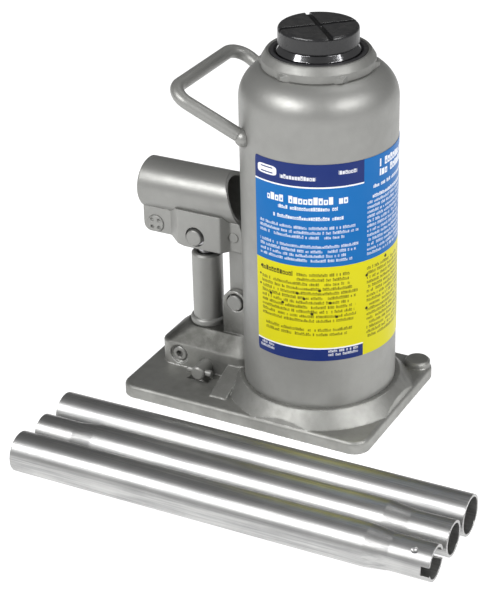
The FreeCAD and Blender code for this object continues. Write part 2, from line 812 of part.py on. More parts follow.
def ball_lift():
    """Height of a ball's centre above the hole that it closes."""
    return math.sqrt(ball_radius ** 2 - oil_hole ** 2) + 0.01


def ball(x, y, z):
    return Part.makeSphere(ball_radius, Vector(x, y, z))


def coil_spring(radius, wire, length, turns):
    pitch = (length - 2 * wire) / turns
    path = Part.makeHelix(pitch, pitch * turns, radius)
    section = Part.Wire([Part.makeCircle(wire, Vector(radius, 0, 0), Vector(0, 1, 0))])
    coil = Part.Wire(path.Edges).makePipeShell([section], True, True)
    return moved(coil, 0, 0, wire)


def delivery_spring():
    low = delivery_seat + ball_lift() + ball_radius * 0.7
    coil = coil_spring(ball_radius - 0.4, spring_wire, delivery_plug_foot - low, 5)
    return moved(coil, delivery_x(), 0, low)


def delivery_plug():
    top = boss_height - 4.5
    radius = ball_radius + 1.0
    plug = Part.makeCylinder(radius, top - delivery_plug_foot, Vector(0, 0, delivery_plug_foot))
    return moved(plug.cut(hexagon(2.0, top - 3, top + 1)), delivery_x())


def release_valve():
    tip = release_back() - ball_lift() - ball_radius - 0.02
    groove = release_radius - 1.3
    seal_low = 3.0
    seal_high = 5.0
    length = tip - release_front
    body = turned([(0, 0), (2.4, 0), (release_radius, 2.2), (release_radius, seal_low), (groove, seal_low),
                   (groove, seal_high), (release_radius, seal_high), (release_radius, length - 1.0),
                   (release_radius - 1.0, length), (0, length)])
    body.rotate(Vector(0, 0, 0), Vector(1, 0, 0), 90)
    body = moved(body, release_x, tip, release_height)
    return body.cut(rod((release_x - 20, release_pin_y(), release_height),
                        (release_x + 20, release_pin_y(), release_height), release_pin_radius))


def release_pin_y():
    return release_front + release_pin_setback


def release_seal():
    tip = release_back() - ball_lift() - ball_radius - 0.02
    body = ring(release_radius - 1.3, release_radius + run_gap - 0.01, 3.0, 5.0)
    body.rotate(Vector(0, 0, 0), Vector(1, 0, 0), 90)
    return moved(body, release_x, tip, release_height)


def release_cross_pin():
    half = release_pin_length / 2
    pin = rod((-half, 0, 0), (half, 0, 0), release_pin_radius)
    ends = [e for e in pin.Edges if e.BoundBox.XMax - e.BoundBox.XMin < 0.01]
    return moved(pin.makeChamfer(0.5, ends), release_x, release_pin_y(), release_height)


def overload_spring():
    start = overload_back() - ball_lift() - ball_radius * 0.7
    length = start - (overload_back() - 8.0)
    body = coil_spring(ball_radius - 0.4, spring_wire, length, 4)
    body.rotate(Vector(0, 0, 0), Vector(1, 0, 0), 90)
    return moved(body, overload_x, start, overload_height)


def overload_screw():
    length = overload_back() - 8.0 + boss_half_width - 0.5
    body = turned([(0, 0), (overload_bore, 0), (overload_bore, length - 0.8), (overload_bore - 0.8, length),
                   (0, length)])
    body = body.cut(hexagon(overload_hex / 2 / math.cos(math.radians(30.0)), length - 3.5, length + 1))
    body.rotate(Vector(0, 0, 0), Vector(1, 0, 0), 90)
    return moved(body, overload_x, overload_back() - 8.0, overload_height)


def suction_strainer():
    rim = max(oil_hole + 0.6, (casing_inner - cylinder_radius) * strainer_share)
    return moved(ring(oil_hole, rim, seat_height, seat_height + 1.4), tank_port_x(), passage_side)


# ---- fittings ----

def outward(angle):
    return Vector(math.cos(math.radians(angle)), math.sin(math.radians(angle)), 0)


def filler_hole():
    out = outward(filler_angle)
    start = out * (casing_inner - 3) + Vector(0, 0, filler_height)
    return Part.makeCylinder(filler_radius + run_gap, casing_wall + 6, start, out)


def filler_plug():
    out = outward(filler_angle)
    seat = casing_radius + free_gap
    depth = casing_wall + 2.0
    body = turned([(0, -depth), (filler_radius - 1.0, -depth), (filler_radius, 1.0 - depth),
                   (filler_radius, 0),
                   (filler_head_radius, 0), (filler_head_radius, filler_head_height - 1.0),
                   (filler_head_radius - 1.0, filler_head_height), (0, filler_head_height)])
    body.rotate(Vector(0, 0, 0), Vector(0, 1, 0), 90)
    body.rotate(Vector(0, 0, 0), Vector(0, 0, 1), filler_angle)
    return moved(body, out.x * seat, out.y * seat, filler_height)


def handle_roots():
    root_y = casing_radius * math.sin(math.radians(handle_root_angle))
    root_x = -casing_radius * math.cos(math.radians(handle_root_angle))
    return [Vector(root_x, side * root_y, handle_root_height) for side in (-1, 1)]


def carry_handle():
    near, far = handle_roots()
    corners = [Vector(handle_corner_x, -handle_corner_y, handle_corner_height),
               Vector(handle_corner_x, handle_corner_y, handle_corner_height)]
    inset = 3.0
    points = [near - (corners[0] - near).normalize() * inset, corners[0], corners[1],
              far - (corners[1] - far).normalize() * inset]
    edges = []
    last = points[0]
    for before, corner, after in zip(points, points[1:], points[2:]):
        back = (before - corner).normalize()
        ahead = (after - corner).normalize()
        half = math.acos(back.dot(ahead)) / 2
        reach = handle_bend / math.tan(half)
        centre = corner + (back + ahead).normalize() * (handle_bend / math.sin(half))
        middle = centre + (corner - centre).normalize() * handle_bend
        start = corner + back * reach
        stop = corner + ahead * reach
        edges.append(Part.makeLine(last, start))
        edges.append(Part.Arc(start, middle, stop).toShape())
        last = stop
    edges.append(Part.makeLine(last, points[-1]))
    path = Part.Wire(edges)
    section = Part.Wire([Part.makeCircle(handle_rod_radius, points[0], corners[0] - near)])
    body = path.makePipeShell([section], True, True)
    return one_solid(body.cut(Part.makeCylinder(casing_radius, 400)))


def handle_welds(handle):
    beads = []
    for root in handle_roots():
        bead = Part.makeSphere(weld_radius, root)
        bead = bead.cut([Part.makeCylinder(casing_radius, 400), handle])
        beads.append(one_solid(bead))
    return Part.Compound(beads)


# ---- pump handle in three pieces ----

def handle_section(place, neck_left, neck_right, notched):
    full = tube_radius
    neck = tube_neck_radius
    outer = []
    if neck_left:
        outer += [(neck, 0), (neck, tube_neck_length), (full, tube_neck_length + tube_taper)]
    else:
        outer += [(full, 0)]
    if neck_right:
        outer += [(full, tube_length - tube_neck_length - tube_taper), (neck, tube_length - tube_neck_length),
                  (neck, tube_length)]
    else:
        outer += [(full, tube_length)]
    inner = [(r - tube_wall, z) for r, z in reversed(outer)]
    tube = turned(outer + inner)
    tube.rotate(Vector(0, 0, 0), Vector(0, 1, 0), 90)
    if notched:
        half = notch_width / 2
        notch = block((tube_length - notch_depth, -full - 1, -half), (tube_length + 1, full + 1, half))
        dimple = Part.makeSphere(dimple_radius, Vector(tube_length - dimple_setback,
                                                       -neck - dimple_radius + dimple_depth, 0))
        dimple.rotate(Vector(0, 0, 0), Vector(1, 0, 0), -dimple_turn)
        tube = tube.cut([notch, dimple])
    tube = moved(tube, tube_left, tube_first_y - place * tube_spacing, full)
    tube.rotate(Vector(0, tube_first_y - place * tube_spacing, 0), Vector(0, 0, 1), tube_turn)
    return tube


os.makedirs("parts", exist_ok=True)

handle = carry_handle()
pieces = {
    "base_casting": base_casting(),
    "reservoir_casing": reservoir_casing(),
    "tank_gasket": tank_gasket(),
    "label": label(),
    "hydraulic_cylinder": hydraulic_cylinder(),
    "cylinder_gasket": cylinder_gasket(),
    "head_nut": head_nut(),
    "wiper_seal": wiper_seal(),
    "carry_handle": handle,
    "carry_handle_welds": handle_welds(handle),
    "pump_cylinder": pump_cylinder(),
    "pump_gasket": pump_gasket(),
    "link_foot_pin": link_foot_pin(),
    "suction_strainer": suction_strainer(),
    "suction_ball": ball(pump_x, 0, chamber_floor + ball_lift()),
    "delivery_ball": ball(delivery_x(), 0, delivery_seat + ball_lift()),
    "delivery_spring": delivery_spring(),
    "delivery_plug": delivery_plug(),
    "overload_ball": ball(overload_x, overload_back() - ball_lift(), overload_height),
    "overload_spring": overload_spring(),
    "overload_screw": overload_screw(),
    "release_ball": ball(release_x, release_back() - ball_lift(), release_height),
    "release_valve": release_valve(),
    "release_seal": release_seal(),
    "release_cross_pin": release_cross_pin(),
    "ram": ram(),
    "ram_seal": ram_seal(),
    "ram_guide_band": ram_guide_band(),
    "screw_stop_washer": screw_stop_washer(),
    "extension_screw": extension_screw(),
    "saddle": saddle(),
    "pump_plunger": pump_plunger(),
    "plunger_seal": plunger_seal(),
    "plunger_pin": plunger_pin(),
    "lever_socket": lever_socket(),
    "socket_plate_front": side_plate(-1),
    "socket_plate_back": side_plate(1),
    "socket_rivet": socket_rivet(),
    "link_head_pin": link_head_pin(),
    "link_bar": link_bar(),
    "filler_plug": filler_plug(),
    "handle_section_back": handle_section(0, False, False, False),
    "handle_section_middle": handle_section(1, True, True, False),
    "handle_section_front": handle_section(2, False, True, True),
}
for name, shape in pieces.items():
    save(name, shape)
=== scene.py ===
import math

import bmesh
import bpy
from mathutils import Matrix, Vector


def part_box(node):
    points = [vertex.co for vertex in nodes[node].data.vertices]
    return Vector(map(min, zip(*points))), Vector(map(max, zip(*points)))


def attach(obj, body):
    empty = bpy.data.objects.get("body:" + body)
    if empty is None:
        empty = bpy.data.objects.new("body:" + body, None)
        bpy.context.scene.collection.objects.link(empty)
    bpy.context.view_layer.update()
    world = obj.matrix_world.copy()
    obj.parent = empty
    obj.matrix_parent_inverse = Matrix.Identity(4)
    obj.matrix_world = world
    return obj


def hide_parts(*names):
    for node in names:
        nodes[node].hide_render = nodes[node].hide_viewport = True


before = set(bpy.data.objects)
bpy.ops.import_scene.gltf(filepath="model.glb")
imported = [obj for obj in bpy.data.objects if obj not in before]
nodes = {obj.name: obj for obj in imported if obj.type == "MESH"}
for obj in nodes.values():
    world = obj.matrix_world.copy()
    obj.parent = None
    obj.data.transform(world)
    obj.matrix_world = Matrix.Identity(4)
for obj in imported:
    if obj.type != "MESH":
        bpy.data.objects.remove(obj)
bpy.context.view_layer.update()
print("stage: frame loaded with", len(nodes), "parts")


# Working habits shared by every piece

def deselectAll():
    if bpy.context.object and bpy.context.object.mode != "OBJECT":
        bpy.ops.object.mode_set(mode="OBJECT")
    bpy.ops.object.select_all(action="DESELECT")


def startEdit(piece):
    deselectAll()
    piece.select_set(True)
    bpy.context.view_layer.objects.active = piece
    bpy.ops.object.mode_set(mode="EDIT")


def pickVertices(piece, wanted):
    # selects the vertices whose place passes the test, in edit mode
    bpy.ops.mesh.select_mode(type="VERT")
    bpy.ops.mesh.select_all(action="DESELECT")
    mesh = bmesh.from_edit_mesh(piece.data)
    for vertex in mesh.verts:
        vertex.select_set(wanted(vertex.co))
    mesh.select_flush(True)
    bmesh.update_edit_mesh(piece.data)


def settle(piece, name):
    # leaves the piece unturned at the origin, its place in its mesh
    deselectAll()
    piece.select_set(True)
    bpy.context.view_layer.objects.active = piece
    bpy.ops.object.transform_apply(location=True, rotation=True, scale=True)
    piece.name = name
    piece.data.name = name


def applyModifier(piece, kind, **settings):
    deselectAll()
    piece.select_set(True)
    bpy.context.view_layer.objects.active = piece
    modifier = piece.modifiers.new(kind.lower(), kind)
    for key, value in settings.items():
        setattr(modifier, key, value)
    bpy.ops.object.modifier_apply(modifier=modifier.name)


def smooth(piece, angle):
    deselectAll()
    piece.select_set(True)
    bpy.context.view_layer.objects.active = piece
    bpy.ops.object.shade_smooth_by_angle(angle=math.radians(angle))


# Node building

def addNode(tree, kind, x=0, **settings):
    node = tree.nodes.new(kind)
    node.location = (x, 0)
    for key, value in settings.items():
        setattr(node, key, value)
    return node


def feed(tree, socket, value):
    # links a socket to another, or sets it
    if isinstance(value, bpy.types.NodeSocket):
        tree.links.new(value, socket)
    else:
        socket.default_value = value


def sums(tree, operation, first, second=0.0, third=0.0, clamp=False):
    node = addNode(tree, "ShaderNodeMath", operation=operation, use_clamp=clamp)
    for socket, value in zip(node.inputs, (first, second, third)):
        feed(tree, socket, value)
    return node.outputs[0]


def remap(tree, value, fromLow, fromHigh, toLow=0.0, toHigh=1.0):
    node = addNode(tree, "ShaderNodeMapRange", clamp=True)
    for name, amount in (("Value", value), ("From Min", fromLow), ("From Max", fromHigh),
                         ("To Min", toLow), ("To Max", toHigh)):
        feed(tree, node.inputs[name], amount)
    return node.outputs["Result"]


def between(tree, value, low, high):
    above = sums(tree, "GREATER_THAN", value, low)
    return sums(tree, "MULTIPLY", above, sums(tree, "LESS_THAN", value, high))


def mixColour(tree, factor, first, second):
    node = addNode(tree, "ShaderNodeMix", data_type="RGBA")
    feed(tree, node.inputs["Factor"], factor)
    feed(tree, node.inputs[6], first)
    feed(tree, node.inputs[7], second)
    return node.outputs[2]


def noise(tree, place, scale, detail=2.0, roughness=0.5):
    node = addNode(tree, "ShaderNodeTexNoise")
    feed(tree, node.inputs["Vector"], place)
    feed(tree, node.inputs["Scale"], scale)
    feed(tree, node.inputs["Detail"], detail)
    feed(tree, node.inputs["Roughness"], roughness)
    return node.outputs["Fac"]


def newGroup(name, inputs, outputs):
    tree = bpy.data.node_groups.new(name, "ShaderNodeTree")
    for label, kind, value in inputs:
        socket = tree.interface.new_socket(name=label, in_out="INPUT", socket_type=kind)
        socket.default_value = value
    for label, kind in outputs:
        tree.interface.new_socket(name=label, in_out="OUTPUT", socket_type=kind)
    return tree, addNode(tree, "NodeGroupInput", -900), addNode(tree, "NodeGroupOutput", 900)


def useGroup(tree, group, **values):
    node = addNode(tree, "ShaderNodeGroup")
    node.node_tree = group
    for key, value in values.items():
        feed(tree, node.inputs[key], value)
    return node.outputs


numberSocket, vectorSocket = "NodeSocketFloat", "NodeSocketVector"


# Effects used by several finishes

def makeSoftEdge():
    # rounds the shading of tight edges and marks them, for rubbed wear and, with a light colour, painted edge
    # highlights
    tree, given, out = newGroup("softEdge",
                                [("Radius", numberSocket, 0.0006), ("Wear", numberSocket, 0.5),
                                 ("Grain", numberSocket, 300.0)],
                                [("Normal", vectorSocket), ("RubbedAndHighlight", numberSocket)])
    bevel = addNode(tree, "ShaderNodeBevel", samples=6)
    feed(tree, bevel.inputs["Radius"], given.outputs["Radius"])
    geometry = addNode(tree, "ShaderNodeNewGeometry")
    dot = addNode(tree, "ShaderNodeVectorMath", operation="DOT_PRODUCT")
    feed(tree, dot.inputs[0], bevel.outputs["Normal"])
    feed(tree, dot.inputs[1], geometry.outputs["Normal"])
    turned = sums(tree, "SUBTRACT", 1.0, dot.outputs["Value"])
    place = addNode(tree, "ShaderNodeTexCoord")
    patches = noise(tree, place.outputs["Object"], given.outputs["Grain"], 3.0, 0.6)
    broken = remap(tree, patches, 0.45, 0.62)
    edge = remap(tree, turned, 0.03, 0.16)
    rubbedAndHighlightMask = sums(tree, "MULTIPLY", edge, broken)
    feed(tree, out.inputs["RubbedAndHighlight"], sums(tree, "MULTIPLY", rubbedAndHighlightMask, given.outputs["Wear"], clamp=True))
    feed(tree, out.inputs["Normal"], bevel.outputs["Normal"])
    return tree


def makeEnamelSkin():
    # orange peel, the sand grain of a casting under the coat, and slow changes of tone
    tree, given, out = newGroup("enamelSkin",
                                [("Peel", numberSocket, 0.4), ("Casting", numberSocket, 0.0)],
                                [("Height", numberSocket), ("Tone", numberSocket)])
    place = addNode(tree, "ShaderNodeTexCoord").outputs["Object"]
    peel = sums(tree, "MULTIPLY", noise(tree, place, 420.0, 2.0), given.outputs["Peel"])
    sand = noise(tree, place, 900.0, 4.0, 0.65)
    swell = noise(tree, place, 95.0, 2.0)
    grain = sums(tree, "MULTIPLY", sums(tree, "ADD", sand, swell), given.outputs["Casting"])
    feed(tree, out.inputs["Height"], sums(tree, "ADD", peel, grain))
    clouds = sums(tree, "ADD", sums(tree, "MULTIPLY", noise(tree, place, 22.0, 3.0), 0.7),
                  sums(tree, "MULTIPLY", noise(tree, place, 160.0, 3.0), 0.3))
    feed(tree, out.inputs["Tone"], remap(tree, clouds, 0.36, 0.62))
    return tree


def makeMetalGrain():
    # fine lines along or around a part, from a stretched noise, with slow stains
    tree, given, out = newGroup("metalGrain",
                                [("Stretch", vectorSocket, (300.0, 300.0, 3000.0)),
                                 ("Stain", numberSocket, 40.0)],
                                [("Lines", numberSocket), ("Stains", numberSocket)])
    place = addNode(tree, "ShaderNodeTexCoord").outputs["Object"]
    scaled = addNode(tree, "ShaderNodeVectorMath", operation="MULTIPLY")
    feed(tree, scaled.inputs[0], place)
    feed(tree, scaled.inputs[1], given.outputs["Stretch"])
    feed(tree, out.inputs["Lines"], noise(tree, scaled.outputs[0], 1.0, 3.0, 0.6))
    stains = noise(tree, place, given.outputs["Stain"], 4.0, 0.6)
    feed(tree, out.inputs["Stains"], remap(tree, stains, 0.3, 0.7))
    return tree


def makeDust():
    # dust that lies on faces that look up
    tree, given, out = newGroup("dust", [("Amount", numberSocket, 0.2)], [("Mask", numberSocket)])
    geometry = addNode(tree, "ShaderNodeNewGeometry")
    parts = addNode(tree, "ShaderNodeSeparateXYZ")
    feed(tree, parts.inputs[0], geometry.outputs["Normal"])
    up = remap(tree, parts.outputs["Z"], 0.55, 0.95)
    place = addNode(tree, "ShaderNodeTexCoord").outputs["Object"]
    specks = remap(tree, noise(tree, place, 240.0, 5.0, 0.7), 0.42, 0.72)
    settled = sums(tree, "MULTIPLY", up, specks)
    feed(tree, out.inputs["Mask"], sums(tree, "MULTIPLY", settled, given.outputs["Amount"]))
    return tree


softEdge = makeSoftEdge()
enamelSkin = makeEnamelSkin()
metalGrain = makeMetalGrain()
dust = makeDust()
print("stage: shared effects made")


# Finishes

def newFinish(name, roughness, metallic=0.0):
    material = bpy.data.materials.new(name)
    material.use_nodes = True
    tree = material.node_tree
    tree.nodes.clear()
    shader = addNode(tree, "ShaderNodeBsdfPrincipled", 600)
    output = addNode(tree, "ShaderNodeOutputMaterial", 900)
    tree.links.new(shader.outputs[0], output.inputs[0])
    shader.inputs["Roughness"].default_value = roughness
    shader.inputs["Metallic"].default_value = metallic
    return material, tree, shader


def bump(tree, height, normal, distance):
    node = addNode(tree, "ShaderNodeBump")
    feed(tree, node.inputs["Height"], height)
    feed(tree, node.inputs["Normal"], normal)
    node.inputs["Distance"].default_value = distance
    return node.outputs["Normal"]


def paintedShadeMask(tree, look):
    # painted shade: a mottled dark patch round a foot on the casting's boss, from a given height up
    place = addNode(tree, "ShaderNodeTexCoord").outputs["Object"]
    away = addNode(tree, "ShaderNodeVectorMath", operation="DISTANCE")
    feed(tree, away.inputs[0], place)
    feed(tree, away.inputs[1], look["centre"])
    parts = addNode(tree, "ShaderNodeSeparateXYZ")
    feed(tree, parts.inputs[0], place)
    near = remap(tree, away.outputs["Value"], look["reach"] * look["core"], look["reach"], 1.0, 0.0)
    above = remap(tree, parts.outputs["Z"], look["low"], look["low"] + look["fade"])
    blots = remap(tree, noise(tree, place, 130.0, 4.0, 0.65), 0.28, 0.60, 0.72, 1.0)
    return sums(tree, "MULTIPLY", sums(tree, "MULTIPLY", near, above), blots)


def enamel(name, base, shade, look):
    material, tree, shader = newFinish(name, look["roughness"], look["flake"])
    edge = useGroup(tree, softEdge, Radius=look["edge"], Wear=look["wearAndHighlight"], Grain=look["patches"])
    skin = useGroup(tree, enamelSkin, Peel=look["peel"], Casting=look["casting"])
    settled = useGroup(tree, dust, Amount=look["dust"])
    coat = mixColour(tree, skin["Tone"], shade, base)
    # rubbed wear on edges; with the casting's and nut's light edge colour it is also a painted edge highlight
    coat = mixColour(tree, edge["RubbedAndHighlight"], coat, look["rubbedAndHighlightColour"])
    coat = mixColour(tree, settled["Mask"], coat, look["dustColour"])
    # painted shade on the casting's boss, where the look asks for it
    if "stainsAndPaintedShade" in look:
        coat = mixColour(tree, paintedShadeMask(tree, look["stainsAndPaintedShade"]), coat, look["stainsAndPaintedShade"]["shadeColour"])
    feed(tree, shader.inputs["Base Color"], coat)
    rough = remap(tree, skin["Tone"], 0.0, 1.0, look["roughness"] + look["duller"],
                  look["roughness"] - look["glossier"])
    dusted = sums(tree, "MULTIPLY", settled["Mask"], look["dustRoughness"])
    feed(tree, shader.inputs["Roughness"], sums(tree, "ADD", rough, dusted))
    feed(tree, shader.inputs["Normal"], bump(tree, skin["Height"], edge["Normal"], look["bump"]))
    return material


def metal(name, base, stained, look):
    material, tree, shader = newFinish(name, look["roughness"], 1.0)
    edge = useGroup(tree, softEdge, Radius=look["edge"], Wear=look["wearAndHighlight"], Grain=look["patches"])
    grain = useGroup(tree, metalGrain, Stretch=look["stretch"], Stain=look["stain"])
    streaks = remap(tree, grain["Lines"], 0.40, 0.68, 0.0, look["streak"])
    stainsAndPaintedShade = sums(tree, "MULTIPLY_ADD", grain["Stains"], look["stainAmount"], streaks, clamp=True)
    face = mixColour(tree, stainsAndPaintedShade, base, stained)
    face = mixColour(tree, edge["RubbedAndHighlight"], face, look["rubbedAndHighlightColour"])
    feed(tree, shader.inputs["Base Color"], face)
    low, high = look["roughness"] - look["spread"], look["roughness"] + look["spread"]
    feed(tree, shader.inputs["Roughness"], remap(tree, grain["Lines"], 0.3, 0.7, low, high))
    feed(tree, shader.inputs["Normal"], bump(tree, grain["Lines"], edge["Normal"], look["bump"]))
    return material


enamelLook = {
    "roughness": 0.44, "duller": 0.05, "glossier": 0.04,  # how far the clouds of tone change it
    "flake": 0.58, "edge": 0.0009, "wearAndHighlight": 0.10, "patches": 260.0, "peel": 0.5, "casting": 0.0,
    "dust": 0.0, "dustRoughness": 0.3, "bump": 0.00012,
    "rubbedAndHighlightColour": (0.40, 0.40, 0.385, 1), "dustColour": (0.45, 0.44, 0.41, 1),
}
pumpLow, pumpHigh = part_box("pump_cylinder")
# painted shade: a dark mottled patch on the boss top round the pump cylinder's foot
paintedBossShade = {"centre": ((pumpLow[0] + pumpHigh[0]) / 2, 0, 0.026), "reach": 0.040, "core": 0.7,
            "low": 0.0225, "fade": 0.002, "shadeColour": (0.10, 0.10, 0.092, 1)}
# light edge colour and strong edge mark: painted edge highlights along the casting's edges, besides rubbed
# wear
castLook = dict(enamelLook, rubbedAndHighlightColour=(0.72, 0.72, 0.70, 1), flake=0.82, casting=0.8, peel=0.3, wearAndHighlight=0.9,
                edge=0.0016, roughness=0.52, stainsAndPaintedShade=paintedBossShade)

greyCoat = enamel("greyEnamel", (0.315, 0.315, 0.302, 1), (0.285, 0.285, 0.273, 1), enamelLook)
greyCast = enamel("greyCasting", (0.355, 0.355, 0.338, 1), (0.25, 0.25, 0.237, 1), castLook)

# light edge colour and strong edge mark: painted edge highlights on the nut's edges, besides rubbed wear
greyNut = enamel("greyNut", (0.26, 0.26, 0.248, 1), (0.19, 0.19, 0.18, 1),
                 dict(enamelLook, casting=0.3, wearAndHighlight=0.8, edge=0.0008, roughness=0.5, flake=0.45,
                      rubbedAndHighlightColour=(0.55, 0.55, 0.53, 1)))

blackLook = dict(enamelLook, roughness=0.27, flake=0.0, edge=0.0007, wearAndHighlight=0.12, peel=0.6, casting=0.5,
                 dust=0.10, bump=0.00015, rubbedAndHighlightColour=(0.16, 0.155, 0.15, 1),
                 dustColour=(0.2, 0.19, 0.17, 1))
blackPhosphate = enamel("blackPhosphate", (0.020, 0.020, 0.021, 1), (0.012, 0.012, 0.013, 1), blackLook)

polishLook = {"roughness": 0.10, "spread": 0.03, "edge": 0.0004, "wearAndHighlight": 0.0, "patches": 400.0, "streak": 0.1,
              "stretch": (60.0, 60.0, 5200.0), "stain": 30.0, "stainAmount": 0.25, "bump": 0.000002,
              "rubbedAndHighlightColour": (0.8, 0.8, 0.8, 1)}
# a base darker than bright polished steel: painted dark reflection on the ram's collar and the other polished
# parts
polishedSteelPaintedDark = metal("polishedSteelPaintedDark", (0.34, 0.34, 0.35, 1), (0.24, 0.24, 0.25, 1), polishLook)

zincLook = {"roughness": 0.40, "spread": 0.08, "edge": 0.0005, "wearAndHighlight": 0.3, "patches": 400.0, "streak": 0.6,
            "stretch": (14.0, 900.0, 900.0), "stain": 30.0, "stainAmount": 0.4, "bump": 0.00001,
            "rubbedAndHighlightColour": (0.9, 0.9, 0.88, 1)}
zincPlate = metal("zincPlate", (0.55, 0.55, 0.54, 1), (0.29, 0.29, 0.295, 1), zincLook)

machinedLook = {"roughness": 0.32, "spread": 0.08, "edge": 0.0004, "wearAndHighlight": 0.2, "patches": 400.0,
                "streak": 0.1, "stretch": (300.0, 300.0, 4200.0), "stain": 60.0, "stainAmount": 0.5,
                "bump": 0.000015, "rubbedAndHighlightColour": (0.7, 0.7, 0.7, 1)}
machinedSteel = metal("machinedSteel", (0.50, 0.50, 0.49, 1), (0.33, 0.32, 0.31, 1), machinedLook)

rubberLook = dict(blackLook, roughness=0.62, wearAndHighlight=0.0, casting=0.3, dust=0.15, edge=0.0005)
blackRubber = enamel("blackRubber", (0.014, 0.014, 0.014, 1), (0.009, 0.009, 0.009, 1), rubberLook)
gasketFibre = enamel("gasketFibre", (0.10, 0.055, 0.03, 1), (0.07, 0.035, 0.02, 1), rubberLook)
polyurethane = enamel("polyurethane", (0.028, 0.028, 0.032, 1), (0.02, 0.02, 0.022, 1),
                      dict(rubberLook, roughness=0.45))
print("stage: finishes made")


# The printed label, wrapped round the casing

labelPrint = {
    "startAngle": -115.1, "endAngle": 53.0,  # degrees round the ram axis
    "steps": 288, "film": 0.00022, "standOff": 0.00002, "corner": 0.0035,
    "mainPanel": 68.3,        # mm round the casing where the two panels meet
    "yellowTop": 62.1,        # mm above the label's lower edge
    "topBand": 111.6, "bottomBand": 8.7, "rule": 0.9,
    "blue": (0.002, 0.135, 0.42, 1), "navy": (0.010, 0.026, 0.150, 1),
    "yellow": (0.66, 0.61, 0.006, 1), "white": (0.86, 0.87, 0.90, 1),
    "darkInk": (0.045, 0.04, 0.01, 1),
    "roughness": 0.34, "gloss": 0.28, "dull": 0.38, "specular": 0.12, "faded": 0.012, "bump": 0.00005,
    # badge: scale and shift that bring its outline to 1 on each side, and how square it is
    "badgeAcross": (0.145, -1.35), "badgeUp": (0.34, -40.6), "badgeSquareness": 4.0,
    "stripes": (117.9, 120.9), "stripeHalf": 0.35, "stripeEnds": (5.0, 13.6),
}

# sizes of print: row pitch, letter width, ink share of a row, gap share, mm above the lower edge where rows
# start, how uneven the rows' ends are, and how strongly it prints
printSizes = {
    "blueHeading": (5.6, 2.9, 0.86, 0.10, 106.4, 0.0, 0.92),
    "blueLine": (3.0, 1.35, 0.78, 0.10, 100.0, 0.0, 0.80),
    "blueSmall": (2.95, 0.98, 0.66, 0.14, 87.85, 0.16, 0.58),
    "yellowHeading": (3.8, 1.9, 0.88, 0.0, 58.6, 0.0, 0.92),
    "yellowSmall": (3.0, 0.98, 0.70, 0.12, 57.9, 0.12, 0.72),
    "bandLine": (3.4, 1.7, 0.80, 0.0, 122.4, 0.0, 0.80),
    "bandSmall": (2.4, 1.1, 0.74, 0.12, 7.4, 0.0, 0.62),
}
# blocks of each size: left, top, width, height, in mm
printBlocks = {
    "blueHeading": [(9.6, 106.4, 48.6, 5.6), (80.0, 123.2, 30.0, 5.6), (80.0, 117.6, 36.0, 5.6)],
    "blueLine": [(17.0, 100.0, 35.0, 3.0), (12.5, 94.0, 43.0, 3.0), (75.0, 109.0, 44.0, 3.0),
                 (74.5, 103.0, 54.0, 3.0)],
    "blueSmall": [(3.6, 87.85, 61.0, 8.85), (3.6, 76.05, 61.0, 5.9), (3.6, 70.15, 61.0, 5.9),
                  (70.6, 99.65, 61.0, 35.4)],
    "yellowHeading": [(4.6, 58.6, 21.0, 3.8)],
    "yellowSmall": [(28.0, 57.9, 32.0, 6.0), (4.4, 51.9, 60.0, 27.0), (7.0, 21.9, 54.0, 6.0),
                    (70.6, 57.9, 61.0, 48.0)],
    "bandLine": [(52.5, 122.4, 11.0, 3.4), (18.5, 119.0, 21.0, 3.4)],
    "bandSmall": [(2.4, 7.4, 10.5, 4.8), (46.5, 7.4, 18.5, 4.8)],
}
# bullets: centre round the casing, centre above the lower edge, radius
bullets = [(4.4, 56.8, 0.9), (3.2, 51.4, 0.7), (3.2, 45.0, 0.7), (11.0, 40.8, 0.95), (19.2, 36.8, 0.95),
           (28.4, 44.4, 0.95), (32.4, 41.2, 0.95), (41.5, 46.8, 0.95), (37.0, 31.4, 0.95), (47.6, 38.6, 0.95),
           (51.4, 29.2, 0.95), (70.6, 52.4, 0.95), (70.6, 30.8, 0.95), (86.5, 59.6, 1.1)]


# a stroke, as shares of its cell: gap before it, most it is cut down, and the eye that some have
strokes = {"gap": 0.16, "cut": 0.30, "eyeAcross": 0.60, "eyeWidth": 0.14, "eyeDown": 0.66, "eyeHeight": 0.13,
           "noEye": 0.35, "evenness": 3.0}


